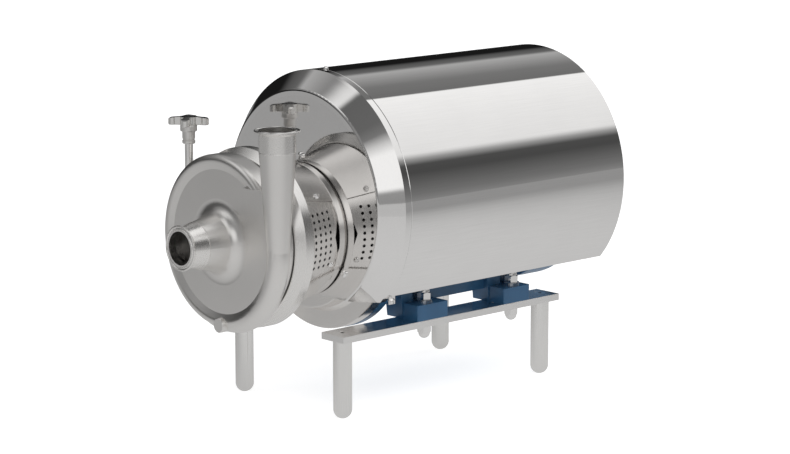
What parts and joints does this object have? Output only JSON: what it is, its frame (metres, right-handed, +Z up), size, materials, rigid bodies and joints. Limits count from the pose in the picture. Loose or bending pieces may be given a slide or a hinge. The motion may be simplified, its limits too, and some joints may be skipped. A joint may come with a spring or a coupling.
{
  "type": "sanitary centrifugal pump",
  "caption": "Close-coupled sanitary centrifugal pump with end suction, top side discharge, clamped volute casing, shrouded flange motor and four round legs.",
  "frame": {"origin": "floor under the middle of the pump's overall box", "axes": "+Y along the shaft from the suction port towards the motor's fan end, +Z up along the discharge, +X towards the discharge side"},
  "size_m": [0.374, 0.699, 0.4847],
  "materials": {
    "satin_steel": "satin stainless steel",
    "polished_steel": "mirror-polished stainless steel",
    "drum_steel": "turned stainless steel",
    "bolt_steel": "bright stainless fasteners",
    "shaft_steel": "ground steel",
    "core_steel": "laminated steel core",
    "motor_paint": "satin blue paint",
    "copper": "varnished copper winding",
    "black_plastic": "moulded black plastic",
    "seal_rubber": "black elastomer",
    "seal_carbon": "pressed carbon",
    "seal_ceramic": "fine ceramic"
  },
  "bodies": {
    "pump_body": {"casing": "satin_steel", "suction_ferrule": "satin_steel", "discharge_ferrule": "satin_steel", "clamp_ring": "satin_steel", "back_plate": "satin_steel", "base_bar_l": "satin_steel", "base_bar_r": "satin_steel", "shroud_front": "satin_steel", "shroud": "polished_steel", "shroud_plate": "polished_steel", "leg_front_l": "polished_steel", "leg_front_r": "polished_steel", "leg_rear_l": "polished_steel", "leg_rear_r": "polished_steel", "guard_front_l": "polished_steel", "guard_front_r": "polished_steel", "front_drum": "drum_steel", "rear_drum": "drum_steel", "clamp_nut": "bolt_steel", "collar_screws": "bolt_steel", "guard_screws": "bolt_steel", "shroud_screws": "bolt_steel", "flange_studs": "bolt_steel", "leg_screws": "bolt_steel", "foot_studs": "bolt_steel", "cap_nuts": "bolt_steel", "foot_washers": "bolt_steel", "bearing_outer_rings": "shaft_steel", "bearing_balls": "shaft_steel", "stator_core": "core_steel", "motor_shield": "motor_paint", "motor_frame": "motor_paint", "foot_rail_l": "motor_paint", "foot_rail_r": "motor_paint", "rear_shield": "motor_paint", "fan_cowl": "motor_paint", "terminal_box": "motor_paint", "terminal_lid": "motor_paint", "windings": "copper", "cable_gland": "black_plastic", "casing_seal": "seal_rubber", "seal_seat": "seal_ceramic"},
    "rotor": {"pump_shaft": "shaft_steel", "impeller": "satin_steel", "impeller_nut": "bolt_steel", "seal_face": "seal_carbon", "seal_bellows": "seal_rubber", "shaft_key": "shaft_steel", "grip_ring": "shaft_steel", "motor_shaft": "shaft_steel", "rotor_core": "core_steel", "bearing_inner_rings": "shaft_steel", "motor_fan": "black_plastic"},
    "lift_washer": {"clamp_washer": "bolt_steel"},
    "clamp_handle": {"clamp_screw": "bolt_steel", "knob_hub": "satin_steel", "knob": "satin_steel", "knob_cap": "black_plastic"}
  },
  "joints": [
    {"name": "rotor_spin", "type": "hinge", "parent": "pump_body", "child": "rotor", "pos_m": [0, 0, 0.256], "axis": [0, 1, 0], "continuous": true},
    {"name": "clamp_lift", "type": "slide", "parent": "pump_body", "child": "lift_washer", "axis": [0, 0, 1], "range_m": [0, 0.03001]},
    {"name": "clamp_turn", "type": "hinge", "parent": "lift_washer", "child": "clamp_handle", "pos_m": [-0.136, -0.2225, 0.356], "axis": [0, 0, 1], "range_deg": [0, 3600]}
  ],
  "couplings": [
    {"joint": "clamp_lift", "follows": "clamp_turn", "m_per_rad": 0.00047746}
  ]
}
